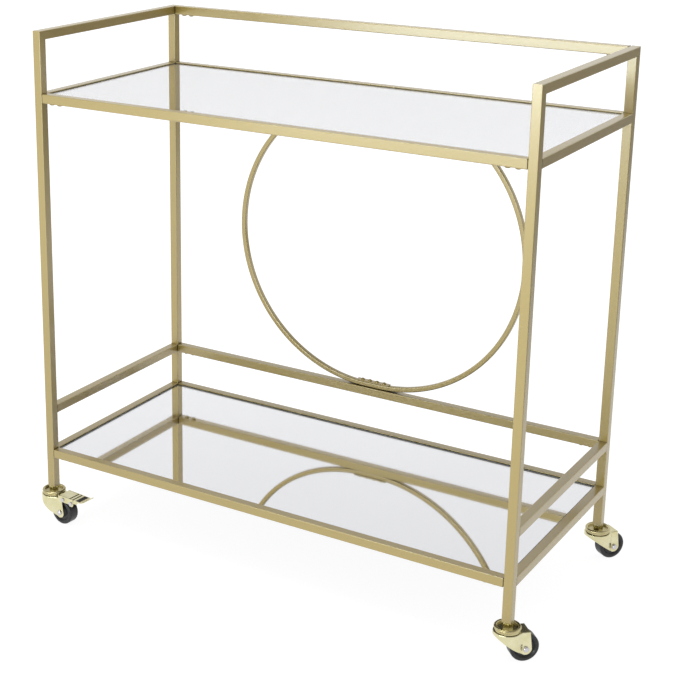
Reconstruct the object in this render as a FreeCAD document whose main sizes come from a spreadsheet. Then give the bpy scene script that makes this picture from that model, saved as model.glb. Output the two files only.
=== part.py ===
import FreeCAD, Part
import math
import os
import re
import Sketcher

# Two-tier bar cart: a square-tube frame, two mirror shelves, a hoop in the back and four swivel casters.
# Millimetres. +Z is up, +X runs along the cart to the right, the front faces -Y.
# The origin is on the floor, under the middle of the frame.

Vector = FreeCAD.Vector
Rotation = FreeCAD.Rotation
Placement = FreeCAD.Placement
DOWN_X = Rotation(Vector(0, 1, 0), 90)
ALONG_Y = Rotation(Vector(1, 0, 0), -90)
HALF_TURN = Rotation(Vector(0, 0, 1), 180)
UPSIDE_DOWN = Rotation(Vector(1, 0, 0), 180)
UPRIGHT = Rotation()

doc = FreeCAD.newDocument("BarCart")
sheet = doc.addObject("Spreadsheet::Sheet", "Sizes")

# Driving dimensions: name, size, what it measures.
SIZES = (
    ("cart_length", 762, "over the outer faces of the legs"),
    ("cart_depth", 344, "over the outer faces of the legs"),
    ("cart_height", 755, "floor to the top rails"),
    ("tube_side", 13, "square tube, outside"),
    ("tube_wall", 1, "tube wall"),
    ("tube_corner", 1, "rounding of the tube's edges"),
    ("lower_shelf_top", 118, "top of the lower shelf's rails above the floor"),
    ("guard_rise", 69.5, "top of the guard rails above the lower shelf's rails"),
    ("upper_shelf_drop", 89.5, "top of the upper shelf's rails below the top rails"),
    ("rail_gap", 1, "open joint between a long rail's end and the leg"),
    ("tongue_length", 36, "how far a tongue stands out from its leg"),
    ("tongue_play", 0.1, "play of a tongue inside its rail"),
    ("screw_first", 14, "first rail screw from the leg's face"),
    ("screw_pitch", 13.5, "between the two screws of a rail end"),
    ("screw_shank", 3.8, "rail and hoop screw diameter"),
    ("screw_play", 0.4, "screw hole over screw diameter"),
    ("screw_head", 8, "rail screw head diameter"),
    ("screw_head_height", 2.2, "rail screw head"),
    ("screw_reach", 6, "rail screw's shank above the rail's wall"),
    ("head_share", 0.36, "a screw head's crown radius and half flat, over its diameter"),
    ("socket_share", 0.4, "a screw's hexagon socket across its flats, over its head's diameter"),
    ("socket_depth", 0.6, "depth of a screw's socket, over its head's height"),
    ("hoop_bar", 8, "side of the hoop's square bar"),
    ("hoop_edge", 1, "rounding of the hoop's edges"),
    ("hoop_flat", 22, "straight run of the hoop on each rail"),
    ("hoop_plate_length", 56, "doubler plate inside the hoop"),
    ("hoop_plate_thick", 2, "doubler plate, at its middle"),
    ("hoop_screw_pitch", 12.5, "between neighbouring hoop screws"),
    ("hoop_screw_head", 6.4, "hoop screw head diameter"),
    ("hoop_screw_height", 1.8, "hoop screw head"),
    ("mirror_thick", 4, "mirror glass"),
    ("mirror_play", 1, "between a mirror's edge and the rails"),
    ("mirror_drop", 1.5, "mirror face below the rail tops"),
    ("mirror_arris", 0.5, "ground edge of the glass"),
    ("bumper_width", 8, "clear bumper diameter"),
    ("bumper_thick", 1, "clear bumper"),
    ("bumper_in", 7.7, "bumper's middle inwards from the rail"),
    ("tab_length", 20, "shelf tab along its rail"),
    ("tab_reach", 14, "shelf tab inwards from its rail"),
    ("tab_thick", 1.5, "shelf tab"),
    ("tab_spread", 250, "long rails' tabs from the middle"),
    ("plug_height", 16, "threaded plug in a leg's end"),
    ("plug_play", 0.1, "plug inside the tube, and stem inside the plug"),
    ("wheel_diameter", 40, "caster wheel"),
    ("wheel_width", 18, "caster wheel tread"),
    ("tread_edge", 3, "rounding of the tread's edges"),
    ("wheel_dish", 2.5, "depth of the wheel's side recess"),
    ("rim_thick", 5, "rim round the side recess"),
    ("hub_diameter", 13, "wheel hub"),
    ("hub_play", 0.3, "hub face to fork cheek"),
    ("trail", 22, "axle behind the stem"),
    ("axle_diameter", 6, "axle bolt"),
    ("axle_play", 0.1, "running fit of wheel, stem and pedal bores, on diameter"),
    ("axle_head", 8, "axle bolt head diameter"),
    ("axle_head_height", 3.2, "axle bolt head"),
    ("axle_head_crown", 2.4, "crown radius of the axle bolt's head"),
    ("thread_end", 0.5, "axle's thread beyond its nut"),
    ("axle_nut_flats", 8, "axle nut across its flats"),
    ("axle_nut_height", 3.5, "axle nut"),
    ("crown_rise", 4, "top of the fork's crown above the wheel"),
    ("fork_sheet", 1.4, "fork sheet metal"),
    ("fork_radius", 19, "fork's round nose"),
    ("crown_edge", 1.2, "rounding of the sheet round the crown"),
    ("fork_width", 24, "over the cheeks at the axle"),
    ("crease", 17, "where the cheeks turn parallel, behind the stem"),
    ("nose_skirt", 4.5, "depth of the skirt at the nose"),
    ("boss_radius", 8, "rounding of the cheeks about the axle"),
    ("tail_rake", 3, "lean of the cheeks' rear edges"),
    ("arm_end", 28, "rear end of a braked fork's arms behind the axle"),
    ("arm_start", 2, "front end of the raised arms ahead of the axle"),
    ("arm_rise", 5.2, "top of the arms above the pedal's pivot"),
    ("arm_drop", 3.8, "lower edge of the arms below the pedal's pivot"),
    ("arm_tab", 2.5, "depth of the tab under the stop pin"),
    ("arm_tab_half", 3, "half width of the tab under the stop pin"),
    ("stem_diameter", 8, "stem and king pin"),
    ("king_head", 13, "peened head of the king pin"),
    ("king_head_height", 2, "peened head of the king pin"),
    ("king_edge", 1, "chamfer of the king pin's head"),
    ("king_gap", 0.2, "swivel play under the crown"),
    ("collar_flats", 13, "stem's hexagon collar across its flats"),
    ("collar_height", 8.3, "stem's hexagon collar, from the race to the leg"),
    ("stem_reach", 14, "stem inside the leg's plug"),
    ("ball_diameter", 2.4, "race ball"),
    ("ball_circle", 20, "diameter of the ball track"),
    ("ball_count", 8, "balls in one race"),
    ("race_sheet", 1.2, "pressed race"),
    ("race_radius", 18, "over the race's rim"),
    ("rim_round", 2.2, "rounding of the race's rolled rim"),
    ("rim_out", 1, "how far the rolled rim stands out from the race's wall"),
    ("rim_rise", 7, "top of the race's rim above the crown"),
    ("race_lip", 0.6, "lower end of the race's wall above the crown"),
    ("pivot_back", 7, "pedal pivot behind the axle"),
    ("pivot_clear", 2.33, "left between the pivot pin and the tread"),
    ("pin_diameter", 4, "pivot and stop pins"),
    ("pin_head", 6.4, "rivet heads of the pins"),
    ("pin_head_height", 1.2, "rivet heads of the pins"),
    ("stop_back", 23.5, "stop pin behind the axle"),
    ("stop_drop", 1.8, "stop pin below the pedal's pivot"),
    ("pedal_sheet", 1.4, "pedal sheet metal"),
    ("pedal_play", 0.5, "pedal between the arms, each side"),
    ("pedal_front", 1, "front end of the pedal ahead of the axle"),
    ("pedal_tip", 22, "rear end of the pedal behind the arms"),
    ("foot_start", 1.2, "where the pedal widens behind the arms"),
    ("foot_width", 23, "pedal's foot plate"),
    ("foot_lip", 5.5, "depth of the foot plate's side lips"),
    ("foot_lip_end", 10, "rear end of the side lips behind the arms"),
    ("tip_start", 15.5, "where the tip turns up behind the arms"),
    ("tip_rise", 3, "rise of the upturned tip"),
    ("rib_first", 20, "first pressed rib behind the axle"),
    ("rib_pitch", 6.5, "between the pressed ribs"),
    ("rib_width", 2.4, "pressed rib"),
    ("rib_height", 0.9, "pressed rib"),
    ("pad_start", 4.5, "front of the black pad behind the arms"),
    ("pad_length", 8.5, "black pad"),
    ("pad_thick", 0.8, "black pad"),
    ("pad_margin", 1.2, "foot plate left beside the pad"),
    ("lug_radius", 3.2, "pedal lugs about the pivot"),
    ("shoe_back", 13, "front of the brake shoe behind the axle"),
    ("shoe_length", 4.2, "brake shoe"),
    ("shoe_gap", 0.3, "left between shoe and tread with the pedal down"),
    ("pedal_travel", 10, "degrees: the pedal's way down"),
    ("shoe_width", 13, "brake shoe"),
    ("left_front_heading", -5, "degrees: where this caster trails, from +X towards +Y"),
    ("right_front_heading", 44, "degrees"),
    ("left_rear_heading", 14, "degrees"),
    ("right_rear_heading", 55, "degrees"),
)
for row, (alias, size, note) in enumerate(SIZES, start=1):
    sheet.set(f"A{row}", alias)
    sheet.set(f"B{row}", str(size))
    sheet.set(f"C{row}", note)
    sheet.setAlias(f"B{row}", alias)
doc.recompute()
ALIASES = {alias for alias, size, note in SIZES}

# Sizes that follow from the driving ones, as formulas.
LEG_X = "(cart_length - tube_side) / 2"
LEG_Y = "(cart_depth - tube_side) / 2"
INNER_LENGTH = "(cart_length - 2 * tube_side)"
INNER_DEPTH = "(cart_depth - 2 * tube_side)"
UPPER_TOP = "(cart_height - upper_shelf_drop)"
GUARD_TOP = "(lower_shelf_top + guard_rise)"
HOOP_RADIUS = f"(({UPPER_TOP} - tube_side - {GUARD_TOP}) / 2)"
HOOP_MIDDLE = f"(({UPPER_TOP} - tube_side + {GUARD_TOP}) / 2)"
AXLE_HEIGHT = "(wheel_diameter / 2)"
TAIL_END = "(trail + boss_radius)"
FORK_LOW = f"({AXLE_HEIGHT} - boss_radius)"
FORK_TOP = "(wheel_diameter + crown_rise)"
RACE_UNDER = f"({FORK_TOP} + ball_diameter + king_gap / 2)"
STEM_SEAT = f"({RACE_UNDER} + race_sheet)"
LEG_FOOT = f"({STEM_SEAT} + collar_height)"
PIVOT_X = "(trail + pivot_back)"
PIVOT_RADIUS = f"({AXLE_HEIGHT} + pin_diameter / 2 + pivot_clear)"
PIVOT_Z = f"({AXLE_HEIGHT} + sqrt({PIVOT_RADIUS} * {PIVOT_RADIUS} - pivot_back * pivot_back))"
STOP_X = "(trail + stop_back)"
STOP_Z = f"({PIVOT_Z} - stop_drop)"
ARM_START = "(trail - arm_start)"
ARM_END = "(trail + arm_end)"
ARM_TOP = f"({PIVOT_Z} + arm_rise)"
ARM_LOW = f"({PIVOT_Z} - arm_drop)"
PEDAL_TOP = ARM_TOP
PEDAL_UNDER = f"({ARM_TOP} - pedal_sheet)"
PEDAL_HALF = "(fork_width / 2 - fork_sheet - pedal_play)"
PEDAL_FRONT = "(trail - pedal_front)"
PEDAL_TIP = f"({ARM_END} + pedal_tip)"
FOOT_START = f"({ARM_END} + foot_start)"
FOOT_LIP_END = f"({ARM_END} + foot_lip_end)"
TIP_START = f"({ARM_END} + tip_start)"
PAD_START = f"({ARM_END} + pad_start)"
SHOE_START = "(trail + shoe_back)"
OVERCUT = "1"


def formula(text):
    """A formula in the sheet's names, as an expression of the document."""
    return re.sub(r"[a-z]\w*", lambda name: f"Sizes.{name[0]}" if name[0] in ALIASES else name[0], text)


def amount(text):
    """The present value of a formula."""
    return float(sheet.evalExpression(formula(text)))


def bind(feature, **sizes):
    """Ties properties of a feature to formulas."""
    for name, text in sizes.items():
        feature.setExpression(name, formula(text))


def place(piece, x="0", y="0", z="0", turn=UPRIGHT):
    """Puts a piece where the formulas say."""
    piece.Placement = Placement(Vector(0, 0, 0), turn)
    for axis, text in zip("xyz", (x, y, z)):
        piece.setExpression(f"Placement.Base.{axis}", formula(text))


def new_body(label):
    body = doc.addObject("PartDesign::Body", label)
    body.Label = label
    return body


def new_sketch(body, plane, offset="0"):
    """A sketch on one of the body's own planes, moved along its normal."""
    sketch = body.newObject("Sketcher::SketchObject", f"{body.Label}_sketch")
    support = next(face for face in body.Origin.OriginFeatures if face.Role == plane)
    sketch.AttachmentSupport = [(support, "")]
    sketch.MapMode = "FlatFace"
    sketch.setExpression("AttachmentOffset.Base.z", formula(offset))
    return sketch


def pin_point(sketch, curve, end, x, y):
    """Holds a point of a sketch at two formulas."""
    for axis, text, zero_line in (("X", x, -2), ("Y", y, -1)):
        if text == "0":
            sketch.addConstraint(Sketcher.Constraint("PointOnObject", curve, end, zero_line))
            continue
        rule = Sketcher.Constraint(f"Distance{axis}", -1, 1, curve, end, amount(text))
        number = sketch.addConstraint(rule)
        sketch.setExpression(f"Constraints[{number}]", formula(text))


def set_radius(sketch, curve, text):
    number = sketch.addConstraint(Sketcher.Constraint("Radius", curve, amount(text)))
    sketch.setExpression(f"Constraints[{number}]", formula(text))


def arc_between(start, finish, radius, turn):
    """The shorter arc from start to finish; turn is 1 to the left and -1 to the right."""
    half = (finish - start) * 0.5
    rise = math.sqrt(max(radius ** 2 - half.Length ** 2, 0))
    side = Vector(-half.y, half.x, 0).normalize() * turn
    centre = start + half + side * rise
    first, last = (start, finish) if turn > 0 else (finish, start)
    angles = [math.atan2(point.y - centre.y, point.x - centre.x) for point in (first, last)]
    return Part.ArcOfCircle(Part.Circle(centre, Vector(0, 0, 1), radius), *angles)


def draw(sketch, corners, arcs=None):
    """A closed outline through the corners; arcs gives a radius and a turn by the corner it starts from."""
    arcs = arcs or {}
    points = [Vector(amount(x), amount(y), 0) for x, y in corners]
    count = len(points)
    first_curve = len(sketch.Geometry)
    starts, ends = [], []
    for number, start in enumerate(points):
        finish = points[(number + 1) % count]
        if number in arcs:
            radius, turn = arcs[number]
            sketch.addGeometry(arc_between(start, finish, amount(radius), turn))
            starts.append(1 if turn > 0 else 2)
            ends.append(2 if turn > 0 else 1)
        else:
            sketch.addGeometry(Part.LineSegment(start, finish))
            starts.append(1)
            ends.append(2)
    for number, (x, y) in enumerate(corners):
        curve = first_curve + number
        after = (number + 1) % count
        joint = Sketcher.Constraint("Coincident", curve, ends[number], first_curve + after, starts[after])
        sketch.addConstraint(joint)
        pin_point(sketch, curve, starts[number], x, y)
        if number in arcs:
            set_radius(sketch, curve, arcs[number][0])


def draw_circle(sketch, x, y, radius):
    circle = Part.Circle(Vector(amount(x), amount(y), 0), Vector(0, 0, 1), amount(radius))
    curve = sketch.addGeometry(circle)
    pin_point(sketch, curve, 3, x, y)
    set_radius(sketch, curve, radius)


def draw_box(sketch, low_x, low_y, high_x, high_y):
    draw(sketch, [(low_x, low_y), (high_x, low_y), (high_x, high_y), (low_x, high_y)])


def draw_square(sketch, side):
    half = f"({side}) / 2"
    draw_box(sketch, f"-{half}", f"-{half}", half, half)


def draw_hexagon(sketch, flats, x, y):
    corner, shoulder, half = f"{flats} / sqrt(3)", f"{flats} / sqrt(12)", f"{flats} / 2"
    draw(sketch, [(f"{x} + {corner}", y), (f"{x} + {shoulder}", f"{y} + {half}"),
                  (f"{x} - {shoulder}", f"{y} + {half}"), (f"{x} - {corner}", y),
                  (f"{x} - {shoulder}", f"{y} - {half}"), (f"{x} + {shoulder}", f"{y} - {half}")])


def feature(body, kind, sketch, **sizes):
    """A PartDesign feature on a sketch."""
    made = body.newObject(f"PartDesign::{kind}", f"{body.Label}_{kind.lower()}")
    made.Profile = sketch
    bind(made, **sizes)
    return made


def pad(body, sketch, length, midplane=False, backwards=False):
    made = feature(body, "Pad", sketch, Length=length)
    made.Midplane = midplane
    made.Reversed = backwards
    return made


def cut_through(body, sketch):
    """A pocket right through the body, both ways from its sketch."""
    made = feature(body, "Pocket", sketch)
    made.Type = "ThroughAll"
    made.Midplane = True
    return made


def cut_down(body, sketch, depth, backwards=False):
    made = feature(body, "Pocket", sketch, Length=depth)
    made.Reversed = backwards
    return made


def turn_up(body, sketch, axis="V_Axis"):
    """A full turn of a sketch about one of its own axes."""
    made = body.newObject("PartDesign::Revolution", f"{body.Label}_turned")
    made.Profile = sketch
    made.ReferenceAxis = (sketch, [axis])
    made.Angle = 360
    return made


def round_edges(body, base, kept, radius, kind="Fillet"):
    """Rounds, or chamfers, the edges of the last feature that the test keeps."""
    doc.recompute()
    names = [f"Edge{number}" for number, edge in enumerate(base.Shape.Edges, start=1) if kept(edge)]
    made = body.newObject(f"PartDesign::{kind}", f"{body.Label}_{kind.lower()}")
    made.Base = (base, names)
    bind(made, **{"Radius" if kind == "Fillet" else "Size": radius})
    return made


def group(label, master, spots):
    """Copies of one solid as the separate solids of one node; a spot is x, y, z and a turn."""
    copies = []
    for number, (x, y, z, turn) in enumerate(spots, start=1):
        copy = doc.addObject("App::Link", f"{label}_{number}")
        copy.LinkedObject = master
        place(copy, x, y, z, turn)
        copies.append(copy)
    made = doc.addObject("Part::Compound", label)
    made.Label = label
    made.Links = copies
    sub_parts.append(made)
    return made


sub_parts = []


# Square tube, cut square or mitred towards its own +y side.

def tube(label, length, mitre_start=False, mitre_end=False):
    body = new_body(label)
    section = new_sketch(body, "XY_Plane")
    draw_square(section, "tube_side")
    draw_square(section, "tube_side - 2 * tube_wall")
    run = pad(body, section, length)
    edge_place = amount("tube_side / 2")

    def outer_long_edge(edge):
        low, high = edge.Vertexes[0].Point, edge.Vertexes[-1].Point
        runs_along = abs(low.z - high.z) > edge_place
        return runs_along and min(abs(low.x), abs(low.y)) > edge_place - 1e-6

    round_edges(body, run, outer_long_edge, "tube_corner")
    half = "tube_side / 2"
    mitres = ((mitre_start, "0", "tube_side"), (mitre_end, length, f"{length} - tube_side"))
    for wanted, end, inward in mitres:
        if wanted:
            wedge = new_sketch(body, "YZ_Plane")
            draw(wedge, [(f"-{half}", end), (half, inward), (half, end)])
            cut_through(body, wedge)
    sub_parts.append(body)
    return body


# End frames: legs, mitred top rails and the side rails welded between the legs.

LEG_LENGTH = f"(cart_height - {LEG_FOOT})"
for side, sign in (("left", "-"), ("right", "")):
    for row, row_sign, turn in (("front", "-", UPRIGHT), ("rear", "", HALF_TURN)):
        leg = tube(f"{side}_{row}_leg", LEG_LENGTH, mitre_end=True)
        place(leg, f"{sign}{LEG_X}", f"{row_sign}{LEG_Y}", LEG_FOOT, turn)
    top_rail = tube(f"{side}_top_rail", "cart_depth", mitre_start=True, mitre_end=True)
    place(top_rail, f"{sign}{LEG_X}", "-cart_depth / 2", "cart_height - tube_side / 2", ALONG_Y)
    for name, top in (("upper_shelf", UPPER_TOP), ("guard", GUARD_TOP), ("lower_shelf", "lower_shelf_top")):
        side_rail = tube(f"{side}_{name}_rail", INNER_DEPTH)
        place(side_rail, f"{sign}{LEG_X}", f"-{INNER_DEPTH} / 2", f"{top} - tube_side / 2", ALONG_Y)


# Long rails: an open joint at each end, where two screws from below hold the rail on a tongue.

RAIL_LENGTH = f"({INNER_LENGTH} - 2 * rail_gap)"
SCREW_PLACES = ("screw_first", "screw_first + screw_pitch")
SCREW_HOLE = "(screw_shank + screw_play) / 2"
HOOP_SCREW_PLACES = tuple(f"{step} * hoop_screw_pitch" for step in ("-1.5", "-0.5", "0.5", "1.5"))
LONG_RAILS = (
    ("back_top_rail", "", "cart_height", None),
    ("back_upper_shelf_rail", "", UPPER_TOP, "below"),
    ("front_upper_shelf_rail", "-", UPPER_TOP, None),
    ("back_guard_rail", "", GUARD_TOP, "above"),
    ("back_lower_shelf_rail", "", "lower_shelf_top", None),
    ("front_lower_shelf_rail", "-", "lower_shelf_top", None),
)
for label, row_sign, top, hoop_side in LONG_RAILS:
    rail = tube(label, RAIL_LENGTH)
    screw_holes = new_sketch(rail, "YZ_Plane", "tube_side / 2")
    for distance in SCREW_PLACES:
        draw_circle(screw_holes, "0", f"{distance} - rail_gap", SCREW_HOLE)
        draw_circle(screw_holes, "0", f"{RAIL_LENGTH} - ({distance} - rail_gap)", SCREW_HOLE)
    cut_down(rail, screw_holes, "tube_side / 2")
    if hoop_side:
        hoop_holes = new_sketch(rail, "YZ_Plane")
        for distance in HOOP_SCREW_PLACES:
            draw_circle(hoop_holes, "0", f"{RAIL_LENGTH} / 2 + {distance}", SCREW_HOLE)
        cut_down(rail, hoop_holes, "tube_side", backwards=hoop_side == "below")
    place(rail, f"-{RAIL_LENGTH} / 2", f"{row_sign}{LEG_Y}", f"{top} - tube_side / 2", DOWN_X)


# Tongues: blocks welded to the legs, tapped for the rail screws.

tongue = new_body("tongue_master")
TONGUE_SIDE = "tube_side - 2 * tube_wall - 2 * tongue_play"
tongue_section = new_sketch(tongue, "YZ_Plane")
draw_square(tongue_section, TONGUE_SIDE)
pad(tongue, tongue_section, "tongue_length")
tongue_holes = new_sketch(tongue, "XY_Plane", f"-({TONGUE_SIDE}) / 2")
for distance in SCREW_PLACES:
    draw_circle(tongue_holes, distance, "0", "(screw_shank + tongue_play) / 2")
cut_down(tongue, tongue_holes, TONGUE_SIDE, backwards=True)
RAIL_ENDS = [(end, row_sign, top, turn)
             for label, row_sign, top, hoop_side in LONG_RAILS
             for end, turn in (("-", UPRIGHT), ("", HALF_TURN))]
group("rail_tongues", tongue, [
    (f"{end}{INNER_LENGTH} / 2", f"{row_sign}{LEG_Y}", f"{top} - tube_side / 2", turn)
    for end, row_sign, top, turn in RAIL_ENDS])


# Screws: a low round head with a hexagon socket and a plain shank, on the origin with the head below.

def screw(label, head, head_height, reach):
    body = new_body(label)
    profile = new_sketch(body, "XZ_Plane")
    crown = f"{head} * head_share"
    draw(profile, [("0", f"-{head_height}"), (crown, f"-{head_height}"), (f"{head} / 2", "0"),
                   ("screw_shank / 2", "0"), ("screw_shank / 2", reach), ("0", reach)], {1: (crown, 1)})
    turn_up(body, profile)
    socket = new_sketch(body, "XY_Plane", f"-{head_height}")
    draw_hexagon(socket, f"({head} * socket_share)", "0", "0")
    cut_down(body, socket, f"{head_height} * socket_depth", backwards=True)
    return body


rail_screw = screw("rail_screw_master", "screw_head", "screw_head_height", "tube_wall + screw_reach")
group("rail_screws", rail_screw, [
    (f"{end}({INNER_LENGTH} / 2 - ({distance}))", f"{row_sign}{LEG_Y}", f"{top} - tube_side", UPRIGHT)
    for end, row_sign, top, turn in RAIL_ENDS for distance in SCREW_PLACES])


# Hoop: a square bar rolled into a round, with a short straight run where it stands on each rail.

def hoop_outline(sketch, radius):
    half = "hoop_flat / 2"
    draw(sketch, [(f"-{half}", f"-{radius}"), (half, f"-{radius}"), (f"{half} + {radius}", "0"),
                  (half, radius), (f"-{half}", radius), (f"-{half} - {radius}", "0")],
         {1: (radius, 1), 2: (radius, 1), 4: (radius, 1), 5: (radius, 1)})


HOOP_INSIDE = f"({HOOP_RADIUS} - hoop_bar)"
PLATE_INSIDE = f"({HOOP_INSIDE} - hoop_plate_thick)"
hoop = new_body("back_hoop")
hoop_band = new_sketch(hoop, "XZ_Plane")
hoop_outline(hoop_band, HOOP_RADIUS)
hoop_outline(hoop_band, HOOP_INSIDE)
hoop_bar = pad(hoop, hoop_band, "hoop_bar", midplane=True)
hoop_face = amount("hoop_bar / 2")
round_edges(hoop, hoop_bar, lambda edge: all(
    abs(abs(corner.Point.y) - hoop_face) < 1e-6 for corner in edge.Vertexes) and abs(
    edge.Vertexes[0].Y - edge.Vertexes[-1].Y) < 1e-6, "hoop_edge")
hoop_holes = new_sketch(hoop, "XY_Plane")
for distance in HOOP_SCREW_PLACES:
    draw_circle(hoop_holes, distance, "0", SCREW_HOLE)
cut_through(hoop, hoop_holes)
place(hoop, "0", LEG_Y, HOOP_MIDDLE)
sub_parts.append(hoop)

# Doubler plates sit in the hoop at its two fixings, flat on top for the screw heads.
hoop_plate = new_body("hoop_plate_master")
plate_band = new_sketch(hoop_plate, "XZ_Plane")
HALF_FLAT = "hoop_flat / 2"
PLATE_HALF = "hoop_plate_length / 2"
PLATE_CURVE = f"({PLATE_HALF} - {HALF_FLAT})"
PLATE_END = f"sqrt({HOOP_INSIDE} * {HOOP_INSIDE} - {PLATE_CURVE} * {PLATE_CURVE})"
draw(plate_band, [(f"-{HALF_FLAT}", f"-{HOOP_INSIDE}"), (HALF_FLAT, f"-{HOOP_INSIDE}"),
                  (PLATE_HALF, f"-{PLATE_END}"), (PLATE_HALF, f"-{PLATE_INSIDE}"),
                  (f"-{PLATE_HALF}", f"-{PLATE_INSIDE}"), (f"-{PLATE_HALF}", f"-{PLATE_END}")],
     {1: (HOOP_INSIDE, 1), 5: (HOOP_INSIDE, 1)})
pad(hoop_plate, plate_band, "hoop_bar", midplane=True)
plate_holes = new_sketch(hoop_plate, "XY_Plane")
for distance in HOOP_SCREW_PLACES:
    draw_circle(plate_holes, distance, "0", SCREW_HOLE)
cut_through(hoop_plate, plate_holes)
group("hoop_plates", hoop_plate, [("0", LEG_Y, HOOP_MIDDLE, turn) for turn in (UPRIGHT, UPSIDE_DOWN)])

hoop_screw = screw("hoop_screw_master", "hoop_screw_head", "hoop_screw_height",
                   "hoop_plate_thick + hoop_bar + tube_wall + screw_reach / 2")
group("hoop_screws", hoop_screw, [
    (distance, LEG_Y, f"{HOOP_MIDDLE} {sign} {PLATE_INSIDE}", turn)
    for distance in HOOP_SCREW_PLACES for sign, turn in (("-", UPSIDE_DOWN), ("+", UPRIGHT))])


# Shelves: mirrors on clear bumpers, held up by tabs welded to the rails.

MIRROR_X = f"({INNER_LENGTH} / 2 - mirror_play)"
MIRROR_Y = f"({INNER_DEPTH} / 2 - mirror_play)"
SHELVES = (("upper_mirror", UPPER_TOP), ("lower_mirror", "lower_shelf_top"))
for label, top in SHELVES:
    mirror = new_body(label)
    pane = new_sketch(mirror, "XY_Plane")
    draw_box(pane, f"-{MIRROR_X}", f"-{MIRROR_Y}", MIRROR_X, MIRROR_Y)
    sheet_of_glass = pad(mirror, pane, "mirror_thick")
    round_edges(mirror, sheet_of_glass, lambda edge: edge.Vertexes[0].Z > 0 and edge.Vertexes[-1].Z > 0,
                "mirror_arris", kind="Chamfer")
    place(mirror, "0", "0", f"{top} - mirror_drop - mirror_thick")
    sub_parts.append(mirror)

tab = new_body("tab_master")
tab_plan = new_sketch(tab, "XY_Plane")
TAB_ROUND = "tab_length / 4"
TAB_SHOULDER = f"tab_reach - {TAB_ROUND}"
draw(tab_plan, [("-tab_length / 2", "0"), ("tab_length / 2", "0"), ("tab_length / 2", TAB_SHOULDER),
                (TAB_ROUND, "tab_reach"), (f"-{TAB_ROUND}", "tab_reach"), ("-tab_length / 2", TAB_SHOULDER)],
     {2: (TAB_ROUND, 1), 4: (TAB_ROUND, 1)})
pad(tab, tab_plan, "tab_thick", backwards=True)
bumper = new_body("bumper_master")
bumper_plan = new_sketch(bumper, "XY_Plane")
draw_circle(bumper_plan, "0", "0", "bumper_width / 2")
pad(bumper, bumper_plan, "bumper_thick")
QUARTER_LEFT = Rotation(Vector(0, 0, 1), 90)
QUARTER_RIGHT = Rotation(Vector(0, 0, 1), -90)
TAB_BACK = f"{INNER_DEPTH} / 2"
TAB_SIDE = f"{INNER_LENGTH} / 2"
TAB_SPOTS = [(f"{along}tab_spread", f"-{TAB_BACK}", UPRIGHT, "0", "1") for along in ("-", "")]
TAB_SPOTS += [(f"{along}tab_spread", TAB_BACK, HALF_TURN, "0", "-1") for along in ("-", "")]
TAB_SPOTS += [(f"-{TAB_SIDE}", "0", QUARTER_RIGHT, "1", "0"), (TAB_SIDE, "0", QUARTER_LEFT, "-1", "0")]
tab_places, bumper_places = [], []
for label, top in SHELVES:
    bumper_foot = f"{top} - mirror_drop - mirror_thick - bumper_thick"
    for x, y, turn, in_x, in_y in TAB_SPOTS:
        tab_places.append((x, y, bumper_foot, turn))
        inwards = (f"{x} + {in_x} * bumper_in", f"{y} + {in_y} * bumper_in")
        bumper_places.append((*inwards, bumper_foot, UPRIGHT))
group("shelf_tabs", tab, tab_places)
group("mirror_bumpers", bumper, bumper_places)


# Casters, the part that stays with the leg: plug, stem with its collar and king pin, race and balls.

LEG_SPOTS = {f"{side}_{row}": (f"{sign}{LEG_X}", f"{row_sign}{LEG_Y}")
             for side, sign in (("left", "-"), ("right", ""))
             for row, row_sign in (("front", "-"), ("rear", ""))}


def at_each_leg(height):
    return [(x, y, height, UPRIGHT) for x, y in LEG_SPOTS.values()]


plug = new_body("plug_master")
plug_section = new_sketch(plug, "XY_Plane")
draw_square(plug_section, "tube_side - 2 * tube_wall - plug_play")
draw_circle(plug_section, "0", "0", "(stem_diameter + plug_play) / 2")
pad(plug, plug_section, "plug_height")
group("leg_plugs", plug, at_each_leg(LEG_FOOT))

KING_TOP = f"({FORK_TOP} - fork_sheet - king_gap)"
stem = new_body("stem_master")
stem_profile = new_sketch(stem, "XZ_Plane")
KING_END = f"{KING_TOP} - king_head_height"
STEM_END = f"{LEG_FOOT} + stem_reach"
draw(stem_profile, [("0", KING_END), ("king_head / 2 - king_edge", KING_END),
                    ("king_head / 2", f"{KING_END} + king_edge"), ("king_head / 2", KING_TOP),
                    ("stem_diameter / 2", KING_TOP), ("stem_diameter / 2", STEM_END), ("0", STEM_END)])
turn_up(stem, stem_profile)
collar_plan = new_sketch(stem, "XY_Plane", STEM_SEAT)
draw_hexagon(collar_plan, "collar_flats", "0", "0")
pad(stem, collar_plan, "collar_height")
group("caster_stems", stem, at_each_leg("0"))

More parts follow.
